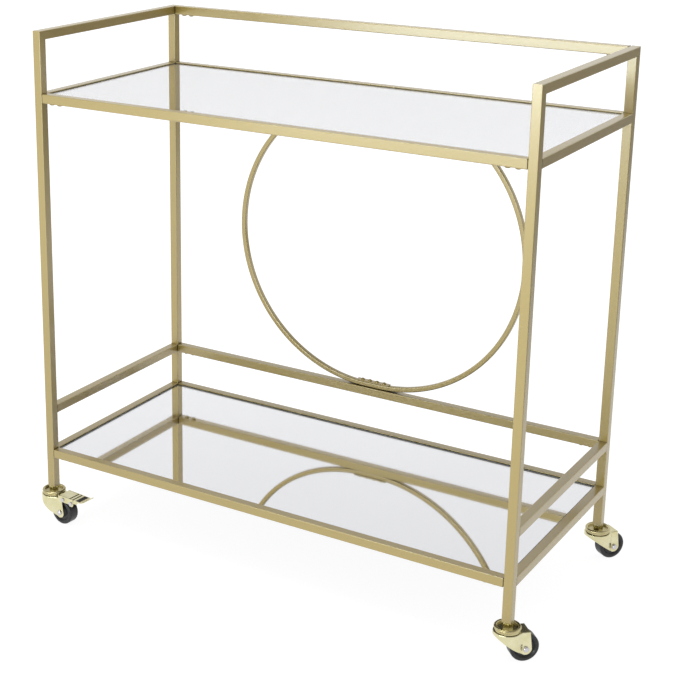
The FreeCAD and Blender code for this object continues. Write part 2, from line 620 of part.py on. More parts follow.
# The race is a pressed cup: a floor that runs on the balls, a rolled rim, and a wall down to the crown.
race = new_body("race_master")
race_profile = new_sketch(race, "XZ_Plane")
STEM_BORE = "(stem_diameter + plug_play) / 2"
RIM_TOP = f"({FORK_TOP} + rim_rise)"
RIM_SIDE = f"({RIM_TOP} - rim_round)"
RIM_MIDDLE = "(race_radius - rim_round)"
RIM_INSIDE = f"({RIM_MIDDLE} - rim_round)"
RIM_TUCK = "(rim_round - rim_out)"
RIM_LOW = f"({RIM_SIDE} - sqrt(rim_round * rim_round - {RIM_TUCK} * {RIM_TUCK}))"
WALL_OUT = "(race_radius - rim_out)"
WALL_IN = f"({WALL_OUT} - race_sheet)"
LIP_END = f"({FORK_TOP} + race_lip)"
draw(race_profile, [
    (STEM_BORE, RACE_UNDER), (f"{RIM_INSIDE} + race_sheet", RACE_UNDER),
    (f"{RIM_INSIDE} + race_sheet", RIM_SIDE), (WALL_IN, RIM_SIDE), (WALL_IN, LIP_END), (WALL_OUT, LIP_END),
    (WALL_OUT, RIM_LOW),
    ("race_radius", RIM_SIDE), (RIM_MIDDLE, RIM_TOP), (RIM_INSIDE, RIM_SIDE), (RIM_INSIDE, STEM_SEAT),
    (STEM_BORE, STEM_SEAT)],
    {6: ("rim_round", 1), 7: ("rim_round", 1), 8: ("rim_round", 1)})
turn_up(race, race_profile)
group("swivel_races", race, at_each_leg("0"))

TRACK = "ball_circle / 2"
ball = doc.addObject("Part::Sphere", "ball_master")
bind(ball, Radius="ball_diameter / 2")
group("race_balls", ball, [
    (f"{x} + {TRACK} * cos({step} * 360 / ball_count)", f"{y} + {TRACK} * sin({step} * 360 / ball_count)",
     f"{RACE_UNDER} - ball_diameter / 2", UPRIGHT)
    for x, y in LEG_SPOTS.values() for step in range(int(amount("ball_count")))])


# Casters, the part that swivels. Each piece is drawn with the stem on the Z axis, trailing along +X.

def place_caster(body, caster):
    x, y = LEG_SPOTS[caster]
    place(body, x, y)
    body.setExpression("Placement.Rotation.Angle", formula(f"{caster}_heading"))
    sub_parts.append(body)


def fork_plan(sketch, inset, tail):
    """The fork from above: a round nose about the stem, shoulders drawn in to parallel cheeks."""
    nose = f"(fork_radius - {inset})"
    half = f"(fork_width / 2 - {inset})"
    square = f"(crease * crease + {half} * {half})"
    reach = f"sqrt({square} - {nose} * {nose})"
    touch_x = f"({nose} * {nose} * crease - {nose} * {half} * {reach}) / {square}"
    touch_y = f"({nose} * {nose} * {half} + {nose} * crease * {reach}) / {square}"
    draw(sketch, [(tail, f"-{half}"), (tail, half), ("crease", half), (touch_x, touch_y), (f"-{nose}", "0"),
                  (touch_x, f"-({touch_y})"), ("crease", f"-{half}")],
         {3: (nose, 1), 4: (nose, 1)})


def fork(caster, braked):
    """A stamped fork: crown, skirt round the nose, cheeks down to the axle, and arms behind if braked."""
    body = new_body(f"{caster}_fork")
    tail = ARM_END if braked else TAIL_END
    top = ARM_TOP if braked else FORK_TOP
    shell = new_sketch(body, "XY_Plane", FORK_LOW)
    fork_plan(shell, "0", tail)
    pressed = pad(body, shell, f"{top} - {FORK_LOW}")
    if braked:
        step = new_sketch(body, "XY_Plane", f"{top} + {OVERCUT}")
        draw_box(step, f"-fork_radius - {OVERCUT}", f"-fork_radius - {OVERCUT}",
                 ARM_START, f"fork_radius + {OVERCUT}")
        pressed = cut_down(body, step, f"{top} - {FORK_TOP} + {OVERCUT}")
    crown = amount(FORK_TOP)
    last_round = amount("crease" if braked else tail) - 1e-6
    round_edges(body, pressed, lambda edge: all(
        abs(corner.Z - crown) < 1e-6 for corner in edge.Vertexes) and min(
        corner.X for corner in edge.Vertexes) < last_round, "crown_edge")
    hollow = new_sketch(body, "XY_Plane", FORK_LOW)
    fork_plan(hollow, "fork_sheet", f"{tail} + {OVERCUT}")
    cut_down(body, hollow, f"{FORK_TOP} - fork_sheet - {FORK_LOW}", backwards=True)

    # A plain fork's crown reaches back over the wheel. With a brake it ends in a round behind the stem,
    # and the pedal lies between the arms.
    beyond = f"{tail} + {OVERCUT}"
    if braked:
        half = "(fork_width / 2 - fork_sheet)"
        crown_end = f"sqrt(fork_radius * fork_radius - {half} * {half})"
        mouth = new_sketch(body, "XY_Plane", f"{top} + {OVERCUT}")
        draw(mouth, [(crown_end, f"-{half}"), (beyond, f"-{half}"), (beyond, half), (crown_end, half)],
             {3: ("fork_radius", -1)})
        cut_down(body, mouth, f"{top} - {FORK_TOP} + fork_sheet + 2 * {OVERCUT}")

    # Side outline: a straight leading edge tangent to the round about the axle, and the rear edge.
    lead = f"({FORK_TOP} - nose_skirt)"
    run = "(-fork_radius - trail)"
    rise = f"({lead} - {AXLE_HEIGHT})"
    square = f"({run} * {run} + {rise} * {rise})"
    reach = f"sqrt({square} - boss_radius * boss_radius)"
    touch_x = f"trail + boss_radius * (boss_radius * {run} - {reach} * {rise}) / {square}"
    touch_z = f"{AXLE_HEIGHT} + boss_radius * (boss_radius * {rise} + {reach} * {run}) / {square}"
    below = f"{FORK_LOW} - {OVERCUT}"
    ahead = f"-fork_radius - {OVERCUT}"
    above = f"{FORK_TOP} + {OVERCUT}"
    rear = [(f"{TAIL_END} - tail_rake", above), (beyond, above)]
    if braked:
        tab_front, tab_rear = f"{STOP_X} - arm_tab_half", f"{STOP_X} + arm_tab_half"
        tab_end = f"{ARM_LOW} - arm_tab"
        rear = [(f"{TAIL_END} - tail_rake", ARM_LOW), (tab_front, ARM_LOW), (tab_front, tab_end),
                (tab_rear, tab_end), (ARM_END, ARM_LOW), (beyond, ARM_LOW)]
    boss = [(touch_x, touch_z), ("trail", FORK_LOW), (TAIL_END, AXLE_HEIGHT)]
    outline = new_sketch(body, "XZ_Plane")
    draw(outline, [(ahead, below), (ahead, lead), ("-fork_radius", lead)] + boss + rear + [(beyond, below)],
         {3: ("boss_radius", 1), 4: ("boss_radius", 1)})
    cut_through(body, outline)

    holes = new_sketch(body, "XZ_Plane")
    draw_circle(holes, "trail", AXLE_HEIGHT, "(axle_diameter + axle_play) / 2")
    if braked:
        draw_circle(holes, PIVOT_X, PIVOT_Z, "(pin_diameter + axle_play) / 2")
        draw_circle(holes, STOP_X, STOP_Z, "(pin_diameter + axle_play) / 2")
    cut_through(body, holes)
    king_hole = new_sketch(body, "XY_Plane", f"{FORK_TOP} + {OVERCUT}")
    draw_circle(king_hole, "0", "0", "(stem_diameter + axle_play) / 2")
    cut_down(body, king_hole, f"fork_sheet + 2 * {OVERCUT}")
    place_caster(body, caster)


def about_axle(body, corners, arcs=None):
    """A turned piece on the axle: corners are distance along the axle and radius."""
    profile = new_sketch(body, "YZ_Plane", "trail")
    height = amount(AXLE_HEIGHT)
    centre_line = Part.LineSegment(Vector(-1, height, 0), Vector(1, height, 0))
    axis = profile.addGeometry(centre_line, True)
    for end, x in ((1, "-1"), (2, "1")):
        pin_point(profile, axis, end, x, AXLE_HEIGHT)
    draw(profile, [(along, f"{AXLE_HEIGHT} + {radius}") for along, radius in corners], arcs)
    return turn_up(body, profile, axis="Axis0")


def wheel(caster):
    """A moulded wheel: round-edged tread, dished sides and a hub that runs on the axle."""
    body = new_body(f"{caster}_wheel")
    half = "wheel_width / 2"
    tread = AXLE_HEIGHT
    recess = f"({half} - wheel_dish)"
    rim = f"({tread} - rim_thick)"
    hub_face = "(fork_width / 2 - fork_sheet - hub_play)"
    hub = "hub_diameter / 2"
    bore = "(axle_diameter + axle_play) / 2"
    right_side = [(hub_face, bore), (hub_face, hub), (recess, f"{hub} + wheel_dish"),
                  (recess, f"{rim} - wheel_dish"), (half, rim), (half, f"{tread} - tread_edge"),
                  (f"{half} - tread_edge", tread)]
    left_side = [(f"-({along})", radius) for along, radius in reversed(right_side)]
    about_axle(body, right_side + left_side, {5: ("tread_edge", 1), 7: ("tread_edge", 1)})
    place_caster(body, caster)


CHEEK_FACE = "fork_width / 2"


def axle(caster):
    """The axle bolt, its round head on the near cheek, and the nut on the far one."""
    bolt = new_body(f"{caster}_axle")
    bolt_end = f"{CHEEK_FACE} + axle_nut_height + thread_end"
    head_end = f"-{CHEEK_FACE} - axle_head_height"
    about_axle(bolt, [
        (bolt_end, "0"), (bolt_end, "axle_diameter / 2"), (f"-{CHEEK_FACE}", "axle_diameter / 2"),
        (f"-{CHEEK_FACE}", "axle_head / 2"), (f"-{CHEEK_FACE} - axle_head_height / 2", "axle_head / 2"),
        (head_end, "axle_head / 4"), (head_end, "0")], {4: ("axle_head_crown", 1)})
    place_caster(bolt, caster)
    nut = new_body(f"{caster}_axle_nut")
    plan = new_sketch(nut, "XZ_Plane", f"-{CHEEK_FACE}")
    draw_hexagon(plan, "axle_nut_flats", "trail", AXLE_HEIGHT)
    draw_circle(plan, "trail", AXLE_HEIGHT, "(axle_diameter + axle_play) / 2")
    pad(nut, plan, "axle_nut_height", backwards=True)
    place_caster(nut, caster)


def cross_pin(caster, name, back, height):
    """A rivet across the fork's arms, headed on both outer faces."""
    body = new_body(f"{caster}_{name}")
    shank = new_sketch(body, "XZ_Plane")
    draw_circle(shank, back, height, "pin_diameter / 2")
    pad(body, shank, "fork_width", midplane=True)
    for offset, backwards in ((CHEEK_FACE, False), (f"-{CHEEK_FACE}", True)):
        head = new_sketch(body, "XZ_Plane", offset)
        draw_circle(head, back, height, "pin_head / 2")
        pad(body, head, "pin_head_height", backwards=backwards)
    place_caster(body, caster)


def brake_pedal(caster):
    """A pressed pedal: a plate between the arms, a wider foot with turned-down sides, an upturned tip."""
    body = new_body(f"{caster}_brake_pedal")
    foot_half = "foot_width / 2"
    side = new_sketch(body, "XZ_Plane")
    draw(side, [(PEDAL_FRONT, PEDAL_UNDER), (TIP_START, PEDAL_UNDER),
                (PEDAL_TIP, f"{PEDAL_UNDER} + tip_rise"), (PEDAL_TIP, f"{PEDAL_TOP} + tip_rise"),
                (TIP_START, PEDAL_TOP), (PEDAL_FRONT, PEDAL_TOP)])
    pad(body, side, "foot_width", midplane=True)
    for sign in ("", "-"):
        waist = new_sketch(body, "XY_Plane", f"{PEDAL_TOP} + {OVERCUT}")
        near, far = PEDAL_HALF, f"{foot_half} + {OVERCUT}"
        draw_box(waist, f"{PEDAL_FRONT} - {OVERCUT}", f"{sign}({near})", FOOT_START, f"{sign}({far})")
        cut_down(body, waist, f"pedal_sheet + 2 * {OVERCUT}")
    recess = new_sketch(body, "XY_Plane", PEDAL_TOP)
    pad_half = f"({foot_half} - pad_margin)"
    draw_box(recess, PAD_START, f"-{pad_half}", f"{PAD_START} + pad_length", pad_half)
    cut_down(body, recess, "pad_thick")
    ribs = new_sketch(body, "XZ_Plane")
    for step in ("0", "1"):
        middle = f"(trail + rib_first + {step} * rib_pitch)"
        rib_top = f"{PEDAL_TOP} + rib_height"
        draw(ribs, [(f"{middle} + rib_width / 2", PEDAL_TOP), (f"{middle} + rib_width / 4", rib_top),
                    (f"{middle} - rib_width / 4", rib_top), (f"{middle} - rib_width / 2", PEDAL_TOP)])
    pad(body, ribs, f"2 * {PEDAL_HALF}", midplane=True)
    for sign in ("", "-"):
        lip = new_sketch(body, "XZ_Plane", f"{sign}({foot_half} - pedal_sheet)")
        lip_low = f"{PEDAL_TOP} - foot_lip"
        draw(lip, [(FOOT_START, PEDAL_UNDER), (FOOT_START, lip_low),
                   (f"{FOOT_LIP_END} - foot_lip / 2", lip_low), (FOOT_LIP_END, PEDAL_UNDER)])
        pad(body, lip, "pedal_sheet", backwards=sign == "-")
        lug = new_sketch(body, "XZ_Plane", f"{sign}({PEDAL_HALF} - pedal_sheet)")
        lug_front, lug_rear = f"{PIVOT_X} - lug_radius", f"{PIVOT_X} + lug_radius"
        draw(lug, [(lug_rear, PEDAL_UNDER), (lug_front, PEDAL_UNDER), (lug_front, PIVOT_Z),
                   (PIVOT_X, f"{PIVOT_Z} - lug_radius"), (lug_rear, PIVOT_Z)],
             {2: ("lug_radius", 1), 3: ("lug_radius", 1)})
        pad(body, lug, "pedal_sheet", backwards=sign == "-")
    # The shoe's face is hollow, round the place that the axle has as seen from the pedal when it is down.
    across, up = "(-pivot_back)", f"({AXLE_HEIGHT} - {PIVOT_Z})"
    centre_x = f"({PIVOT_X} + {across} * cos(pedal_travel) - {up} * sin(pedal_travel))"
    centre_z = f"({PIVOT_Z} + {across} * sin(pedal_travel) + {up} * cos(pedal_travel))"
    face = f"({AXLE_HEIGHT} + shoe_gap)"
    shoe = new_sketch(body, "XZ_Plane")
    shoe_end = f"({SHOE_START} + shoe_length)"
    heights = [f"{centre_z} + sqrt({face} * {face} - ({x} - {centre_x}) * ({x} - {centre_x}))"
               for x in (SHOE_START, shoe_end)]
    draw(shoe, [(SHOE_START, PEDAL_UNDER), (SHOE_START, heights[0]), (shoe_end, heights[1]),
                (shoe_end, PEDAL_UNDER)], {1: (face, -1)})
    pad(body, shoe, "shoe_width", midplane=True)
    bore = new_sketch(body, "XZ_Plane")
    draw_circle(bore, PIVOT_X, PIVOT_Z, "(pin_diameter + axle_play) / 2")
    cut_through(body, bore)
    place_caster(body, caster)

    pad_piece = new_body(f"{caster}_pedal_pad")
    pad_plan = new_sketch(pad_piece, "XY_Plane", f"{PEDAL_TOP} - pad_thick")
    draw_box(pad_plan, PAD_START, f"-{pad_half}", f"{PAD_START} + pad_length", pad_half)
    pad(pad_piece, pad_plan, "pad_thick")
    place_caster(pad_piece, caster)


BRAKED = ("left_front", "left_rear")
for caster in LEG_SPOTS:
    fork(caster, caster in BRAKED)
    wheel(caster)
    axle(caster)
    if caster in BRAKED:
        cross_pin(caster, "pivot_pin", PIVOT_X, PIVOT_Z)
        cross_pin(caster, "stop_pin", STOP_X, STOP_Z)
        brake_pedal(caster)


# Build, check and write each sub-part.

doc.recompute()
failed = [piece.Label for piece in doc.Objects if {"Invalid", "Error"} & set(piece.State)]
failed += [piece.Label for piece in sub_parts if piece.Shape.isNull() or not piece.Shape.isValid()]
if failed:
    raise SystemExit(f"not built: {failed}")
os.makedirs("parts", exist_ok=True)
for piece in sub_parts:
    piece.Shape.exportStep(f"parts/{piece.Label}.step")
print(len(sub_parts), "sub-parts")
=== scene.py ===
import math
import bmesh
import bpy
from mathutils import Matrix, Vector


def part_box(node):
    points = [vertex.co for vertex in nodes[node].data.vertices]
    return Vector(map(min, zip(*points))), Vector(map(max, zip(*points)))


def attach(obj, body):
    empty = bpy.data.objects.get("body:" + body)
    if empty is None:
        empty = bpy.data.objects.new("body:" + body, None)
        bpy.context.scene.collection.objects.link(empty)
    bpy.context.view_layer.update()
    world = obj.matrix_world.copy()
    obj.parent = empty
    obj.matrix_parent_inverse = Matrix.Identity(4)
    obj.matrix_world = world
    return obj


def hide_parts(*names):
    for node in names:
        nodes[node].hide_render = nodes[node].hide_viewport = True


# A two-tier bar cart in metres, dressed around its solids: +Z is up and the front faces -Y.
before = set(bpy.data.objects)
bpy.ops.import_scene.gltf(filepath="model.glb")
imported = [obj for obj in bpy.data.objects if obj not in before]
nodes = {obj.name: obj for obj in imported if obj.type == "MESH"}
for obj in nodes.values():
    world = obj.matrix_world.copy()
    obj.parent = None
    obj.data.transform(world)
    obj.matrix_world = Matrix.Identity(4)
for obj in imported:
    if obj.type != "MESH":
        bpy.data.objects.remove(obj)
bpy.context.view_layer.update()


# End frames: two legs, a mitred top rail and three side rails each, cut from thin square steel tube.
# They are welded, ground flush and sprayed in a satin gold metallic paint under a clear lacquer.
# The rounded edges get a paler painted highlight, and an occlusion mask paints shade into the open joints
# and contacts.

GOLD_DEEP = (0.36, 0.264, 0.055, 1)
GOLD_LIGHT = (0.41, 0.302, 0.070, 1)
GOLD_FLAKE = (0.56, 0.47, 0.20, 1)
# Paler gold mixed onto the rounded edges: a painted highlight.
GOLD_EDGE_HIGHLIGHT = (0.66, 0.58, 0.30, 1)
# Near-black painted shade for gaps and contacts, where the lacquer is also thinned.
JOINT_PAINTED_SHADE = (0.030, 0.018, 0.006, 1)
GOLD_METALLIC = 0.9
GOLD_ROUGHNESS = (0.54, 0.66)
DRIFT_PER_METRE = 5.0
FLAKES_PER_METRE = 2600.0
FLAKE_SHARE = (0.0, 0.3)
FLAKE_SPREAD = (0.5, 0.8)
EDGE_HIGHLIGHT_SHARE = (0.0, 0.35)
EDGE_SPREAD = (0.78, 0.96)
JOINT_REACH = 0.003
JOINT_SPREAD = (0.25, 0.75)
JOINT_SAMPLES = 6
LACQUER_WEIGHT = (1.0, 0.1)
LACQUER_ROUGHNESS = 0.22
LACQUER_IOR = 2.0
PEEL_PER_METRE = 420.0
RISING = (0.0, 1.0)
FALLING = (1.0, 0.0)
NOISE_MIDDLE = (0.3, 0.7)
MIX_SHARE, MIX_FIRST, MIX_SECOND, MIX_RESULT = 0, 6, 7, 2


def fill_sockets(tree, node, sockets):
    """Sets or links a node's inputs, by name or number."""
    for name, value in sockets.items():
        if isinstance(value, bpy.types.NodeSocket):
            tree.links.new(value, node.inputs[name])
        else:
            node.inputs[name].default_value = value


def add_node(tree, kind, sockets=None, **settings):
    """A node with its settings made and its inputs filled."""
    node = tree.nodes.new(kind)
    for name, value in settings.items():
        setattr(node, name, value)
    fill_sockets(tree, node, sockets or {})
    return node


def start_finish(name):
    """An empty finish: its material, node tree, shader and the piece's own coordinates."""
    material = bpy.data.materials.new(name)
    material.use_nodes = True
    tree = material.node_tree
    shader = tree.nodes["Principled BSDF"]
    places = add_node(tree, "ShaderNodeTexCoord")
    return material, tree, shader, places


def noise(tree, where, per_metre, detail=2.0):
    """Soft random grain, from 0 to 1, with about so many specks to a metre."""
    sockets = {"Vector": where, "Scale": per_metre, "Detail": detail}
    return add_node(tree, "ShaderNodeTexNoise", sockets).outputs["Fac"]


def between(tree, share, result, spread=RISING):
    """A number that runs over the result's range as the share runs over its spread."""
    sockets = {"Value": share, "From Min": spread[0], "From Max": spread[1],
               "To Min": result[0], "To Max": result[1]}
    return add_node(tree, "ShaderNodeMapRange", sockets).outputs["Result"]


def reckon(tree, operation, *numbers):
    """The result of one sum on numbers or sockets."""
    return add_node(tree, "ShaderNodeMath", dict(enumerate(numbers)), operation=operation).outputs[0]


def blend_colours(tree, share, first, second):
    """The first colour where the share is 0, the second where it is 1."""
    sockets = {MIX_SHARE: share, MIX_FIRST: first, MIX_SECOND: second}
    return add_node(tree, "ShaderNodeMix", sockets, data_type="RGBA").outputs[MIX_RESULT]


def raise_surface(tree, shader, height, strength, distance):
    """Fine relief on a finish, from a grain."""
    bump = add_node(tree, "ShaderNodeBump", {"Height": height, "Strength": strength, "Distance": distance})
    tree.links.new(bump.outputs["Normal"], shader.inputs["Normal"])


def tube_edges(tree, places):
    """1 on the rounded edges of a square tube and 0 on its flats."""
    sizes = add_node(tree, "ShaderNodeVectorMath", {0: places.outputs["Normal"]}, operation="ABSOLUTE")
    parts = add_node(tree, "ShaderNodeSeparateXYZ", {0: sizes.outputs[0]})
    level = reckon(tree, "MAXIMUM", parts.outputs["X"], parts.outputs["Y"])
    largest = reckon(tree, "MAXIMUM", level, parts.outputs["Z"])
    return between(tree, largest, FALLING, EDGE_SPREAD)


def painted_crevice_shade(tree, reach):
    """1 deep in a narrow gap and 0 on an open face, from occlusion: the mask for painted shade."""
    openness = add_node(tree, "ShaderNodeAmbientOcclusion", {"Distance": reach}, samples=JOINT_SAMPLES)
    return between(tree, openness.outputs["AO"], FALLING, JOINT_SPREAD)


def gold_paint(name, find_edges):
    """Satin gold with fine flakes under lacquer, a painted highlight on its edges and painted shade in its
    joints.
    """
    material, tree, shader, places = start_finish(name)
    where = places.outputs["Object"]
    flakes = noise(tree, where, FLAKES_PER_METRE, detail=1.0)
    shade = blend_colours(tree, noise(tree, where, DRIFT_PER_METRE), GOLD_DEEP, GOLD_LIGHT)
    sparkle = blend_colours(tree, between(tree, flakes, FLAKE_SHARE, FLAKE_SPREAD), shade, GOLD_FLAKE)
    # Rounded edges are mixed towards paler gold as a painted highlight.
    edge_highlight = between(tree, find_edges(tree, places), EDGE_HIGHLIGHT_SHARE)
    painted = blend_colours(tree, edge_highlight, sparkle, GOLD_EDGE_HIGHLIGHT)
    # Painted shade: occlusion darkens the base towards near-black and thins the lacquer in gaps and
    # contacts.
    joint_shade = painted_crevice_shade(tree, JOINT_REACH)
    fill_sockets(tree, shader, {
        "Base Color": blend_colours(tree, joint_shade, painted, JOINT_PAINTED_SHADE),
        "Roughness": between(tree, flakes, GOLD_ROUGHNESS, NOISE_MIDDLE),
        "Metallic": GOLD_METALLIC,
        "Coat Weight": between(tree, joint_shade, LACQUER_WEIGHT),
        "Coat Roughness": LACQUER_ROUGHNESS,
        "Coat IOR": LACQUER_IOR})
    peel = noise(tree, where, PEEL_PER_METRE, detail=3.0)
    raise_surface(tree, shader, peel, strength=0.12, distance=0.0002)
    return material


def dress(material, *names):
    """Gives CAD nodes their finish."""
    for name in names:
        piece = nodes[name]
        piece.data.materials.clear()
        piece.data.materials.append(material)


satin_gold = gold_paint("satin_gold_paint", tube_edges)
END_PIECES = ("front_leg", "rear_leg", "top_rail", "upper_shelf_rail", "guard_rail", "lower_shelf_rail")
for side in ("left", "right"):
    dress(satin_gold, *(f"{side}_{piece}" for piece in END_PIECES))


# Long rails: six straight tubes in the same paint, slid over tongues that are welded to the legs.
# A narrow open joint is left at each end.

LONG_RAILS = ("back_top_rail", "back_upper_shelf_rail", "front_upper_shelf_rail", "back_guard_rail",
              "back_lower_shelf_rail", "front_lower_shelf_rail")
dress(satin_gold, *LONG_RAILS, "rail_tongues")


# Rail screws: brass-plated button heads with a hexagon socket, two up through each rail end.
# The shank goes through the rail's lower wall into the tongue.

SCREW_DULL = (0.28, 0.21, 0.08, 1)
SCREW_BRIGHT = (0.48, 0.38, 0.17, 1)
SCREW_METALLIC = 0.9
SCREW_ROUGHNESS = (0.22, 0.42)
SCREW_WEAR_PER_METRE = 900.0
SCREW_WEAR_SPREAD = (0.35, 0.7)
SCREW_GRAIN_PER_METRE = 2500.0
SCREW_CORNERS = 24
SOCKET_DEPTH = 0.6
HEAD_PROFILE = ((1.0, 0.62), (0.93, 0.74), (0.78, 0.86), (0.5, 0.96), (0.2, 1.0), (0.0, 1.0))
THREAD_TURNS = 6
THREAD_START = 0.3
THREAD_ROOT = 0.9
THREAD_END = 0.97
SCREW_TIP = 0.75
FULL_SIZE = 1.0
SCREWS_FROM_LEG = (0.014, 0.0275)
RAIL_GAP = 0.001


def screw_finish():
    """Thin brass plating, brighter in worn patches."""
    material, tree, shader, places = start_finish("brass_plated_screw")
    where = places.outputs["Object"]
    worn = noise(tree, where, SCREW_WEAR_PER_METRE, detail=3.0)
    patches = between(tree, worn, RISING, SCREW_WEAR_SPREAD)
    fill_sockets(tree, shader, {
        "Base Color": blend_colours(tree, patches, SCREW_DULL, SCREW_BRIGHT),
        "Roughness": between(tree, worn, SCREW_ROUGHNESS),
        "Metallic": SCREW_METALLIC})
    raise_surface(tree, shader, noise(tree, where, SCREW_GRAIN_PER_METRE), strength=0.1, distance=0.0001)
    return material


def turned_mesh(name, rings, around):
    """A closed turned shape: rings of (height, radius at an angle), from one end to the other."""
    mesh = bpy.data.meshes.new(name)
    shape = bmesh.new()
    corners = []
    for height, radius in rings:
        ring = []
        for step in range(around):
            angle = 2 * math.pi * step / around
            reach = radius(angle) if callable(radius) else radius
            ring.append(shape.verts.new((reach * math.cos(angle), reach * math.sin(angle), height)))
        corners.append(ring)
    for low, high in zip(corners, corners[1:]):
        for step in range(around):
            after = (step + 1) % around
            shape.faces.new((low[step], low[after], high[after], high[step]))
    shape.faces.new(list(reversed(corners[0])))
    shape.faces.new(corners[-1])
    bmesh.ops.recalc_face_normals(shape, faces=shape.faces)
    shape.to_mesh(mesh)
    shape.free()
    return mesh


def hexagon(flats):
    """The radius of a hexagon at an angle, from its width over flats."""
    sixth = math.pi / 3
    return lambda angle: flats / 2 / math.cos((angle + sixth / 2) % sixth - sixth / 2)


def button_screw(name, head, head_height, socket, shank, reach):
    """A button-head screw with its head below the origin and its grooved shank above."""
    socket_floor = -head_height + SOCKET_DEPTH * head_height
    rings = [(socket_floor, hexagon(socket)), (-head_height, hexagon(socket))]
    for height, width in HEAD_PROFILE:
        rings.append((-height * head_height, width * head / 2))
    full = shank / 2
    root = THREAD_ROOT * full
    pitch = reach / THREAD_TURNS
    rings.append((0, full))
    for turn in range(THREAD_TURNS):
        foot = pitch * (turn + THREAD_START)
        rings += [(foot, full), (foot + pitch / 4, root), (foot + pitch / 2, full)]
    rings += [(THREAD_END * reach, root), (reach, SCREW_TIP * full)]
    return bpy.data.objects.new(name, turned_mesh(name, rings, SCREW_CORNERS))


def carry(name, mesh, tree, values):
    """A carrier with a node tree on its mesh, the tree's inputs set by their identifiers."""
    carrier = bpy.data.objects.new(f"{name}_carrier", mesh)
    bpy.context.scene.collection.objects.link(carrier)
    layout = carrier.modifiers.new(name, "NODES")
    layout.node_group = tree
    for socket, value in values:
        layout[socket.identifier] = value
    return carrier


def plain_piece(name, carrier, material):
    """The evaluated shape of a carrier as a plain mesh piece; the carrier and its modifiers go."""
    bpy.context.view_layer.update()
    evaluated = carrier.evaluated_get(bpy.context.evaluated_depsgraph_get())
    mesh = bpy.data.meshes.new_from_object(evaluated)
    mesh.name = name
    carrier.modifiers.clear()
    bpy.data.objects.remove(carrier)
    mesh.materials.clear()
    mesh.materials.append(material)
    piece = bpy.data.objects.new(name, mesh)
    bpy.context.scene.collection.objects.link(piece)
    return piece


def set_out(name, pattern, spots, material):
    """Copies of a pattern piece on a list of spots, each a place and a tilt about X, as one plain mesh."""
    tree = bpy.data.node_groups.new(name, "GeometryNodeTree")
    tree.interface.new_socket("Spots", in_out="INPUT", socket_type="NodeSocketGeometry")
    pattern_input = tree.interface.new_socket("Pattern", in_out="INPUT", socket_type="NodeSocketObject")
    finish_input = tree.interface.new_socket("Finish", in_out="INPUT", socket_type="NodeSocketMaterial")
    size_input = tree.interface.new_socket("Size", in_out="INPUT", socket_type="NodeSocketFloat")
    tree.interface.new_socket("Pieces", in_out="OUTPUT", socket_type="NodeSocketGeometry")
    given = add_node(tree, "NodeGroupInput")
    shape = add_node(tree, "GeometryNodeObjectInfo", {"Object": given.outputs["Pattern"]})
    tilt = add_node(tree, "GeometryNodeInputNamedAttribute", {"Name": "tilt"}, data_type="FLOAT")
    turn = add_node(tree, "ShaderNodeCombineXYZ", {"X": tilt.outputs[0]})
    rotation = add_node(tree, "FunctionNodeEulerToRotation", {0: turn.outputs[0]})
    size = add_node(tree, "ShaderNodeCombineXYZ", {axis: given.outputs["Size"] for axis in "XYZ"})
    copies = add_node(tree, "GeometryNodeInstanceOnPoints", {
        "Points": given.outputs["Spots"], "Instance": shape.outputs["Geometry"],
        "Rotation": rotation.outputs[0], "Scale": size.outputs[0]})
    real = add_node(tree, "GeometryNodeRealizeInstances", {0: copies.outputs[0]})
    painted = add_node(tree, "GeometryNodeSetMaterial", {
        "Geometry": real.outputs[0], "Material": given.outputs["Finish"]})
    add_node(tree, "NodeGroupOutput", {0: painted.outputs[0]})

    spot_mesh = bpy.data.meshes.new(f"{name}_spots")
    spot_mesh.from_pydata([place for place, tilt in spots], [], [])
    tilts = spot_mesh.attributes.new("tilt", "FLOAT", "POINT")
    tilts.data.foreach_set("value", [tilt for place, tilt in spots])
    values = ((pattern_input, pattern), (finish_input, material), (size_input, FULL_SIZE))
    return plain_piece(name, carry(name, spot_mesh, tree, values), material)


brass_screw = screw_finish()
rail_screw = button_screw("rail_screw", head=0.008, head_height=0.0022, socket=0.0032, shank=0.0038,
                          reach=0.007)
rail_screw_spots = []
for rail in LONG_RAILS:
    low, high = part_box(rail)
    across = (low.y + high.y) / 2
    for from_leg in SCREWS_FROM_LEG:
        distance = from_leg - RAIL_GAP
        rail_screw_spots.append(((low.x + distance, across, low.z), 0.0))
        rail_screw_spots.append(((high.x - distance, across, low.z), 0.0))
rail_screws = set_out("button_head_rail_screws", rail_screw, rail_screw_spots, brass_screw)
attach(rail_screws, "frame")
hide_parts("rail_screws")


# Hoop: a square steel bar rolled into a round in the middle of the back, painted like the frame.
# It has a short flat where it stands on the guard rail and where it hangs from the upper shelf's rail.

HOOP_BAR = 0.008
HOOP_FLAT = 0.022
HOOP_EDGE = 0.002
HOOP_STEPS = 240
HOOP_EDGE_STEPS = 6
NEAR_MIDDLE = 1e-6
ACROSS_AND_UP = (1, 0, 1)


